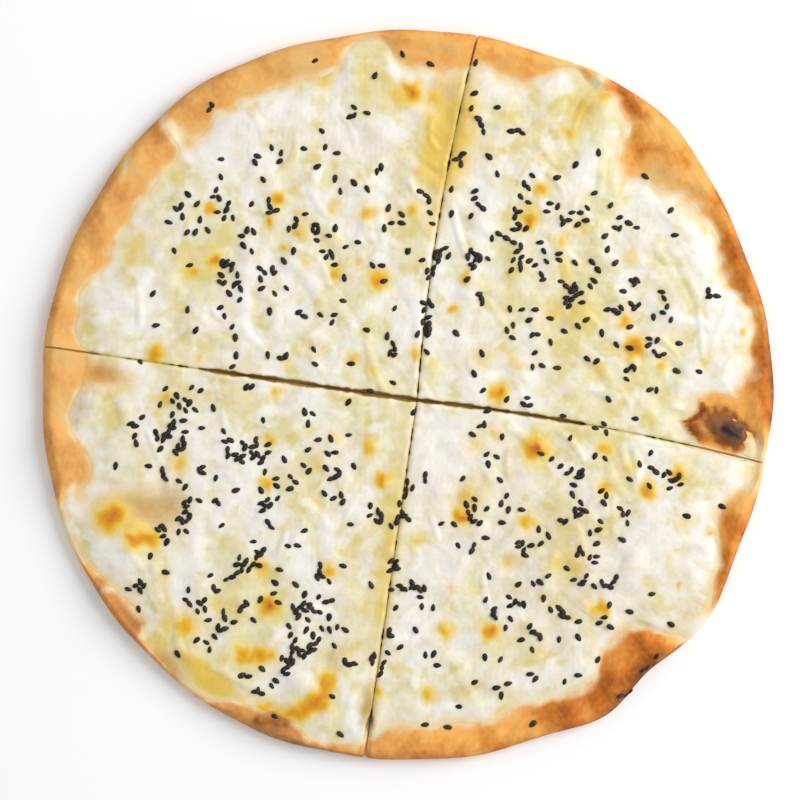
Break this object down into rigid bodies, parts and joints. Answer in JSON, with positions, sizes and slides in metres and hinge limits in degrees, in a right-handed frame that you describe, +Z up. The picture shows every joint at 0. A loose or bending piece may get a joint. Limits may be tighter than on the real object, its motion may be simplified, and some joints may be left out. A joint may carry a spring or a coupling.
{
  "type": "manakish",
  "caption": "Round flat bread topped with melted cheese and black sesame, cut into slices that keep the round, with a browned uneven rim.",
  "frame": {"origin": "middle of the box round the whole, on the flat underside that it rests on", "axes": "+Z up out of the cheese, +Y away from the viewer along the top cut, +X to the right"},
  "size_m": [0.2604, 0.2602, 0.0108],
  "materials": {
    "crust": "matte",
    "melted_cheese": "satin"
  },
  "bodies": {
    "root": {"bread_ne": "crust", "bread_nw": "crust", "bread_sw": "crust", "bread_se": "crust", "cheese_ne": "melted_cheese", "cheese_nw": "melted_cheese", "cheese_sw": "melted_cheese", "cheese_se": "melted_cheese"}
  },
  "joints": []
}
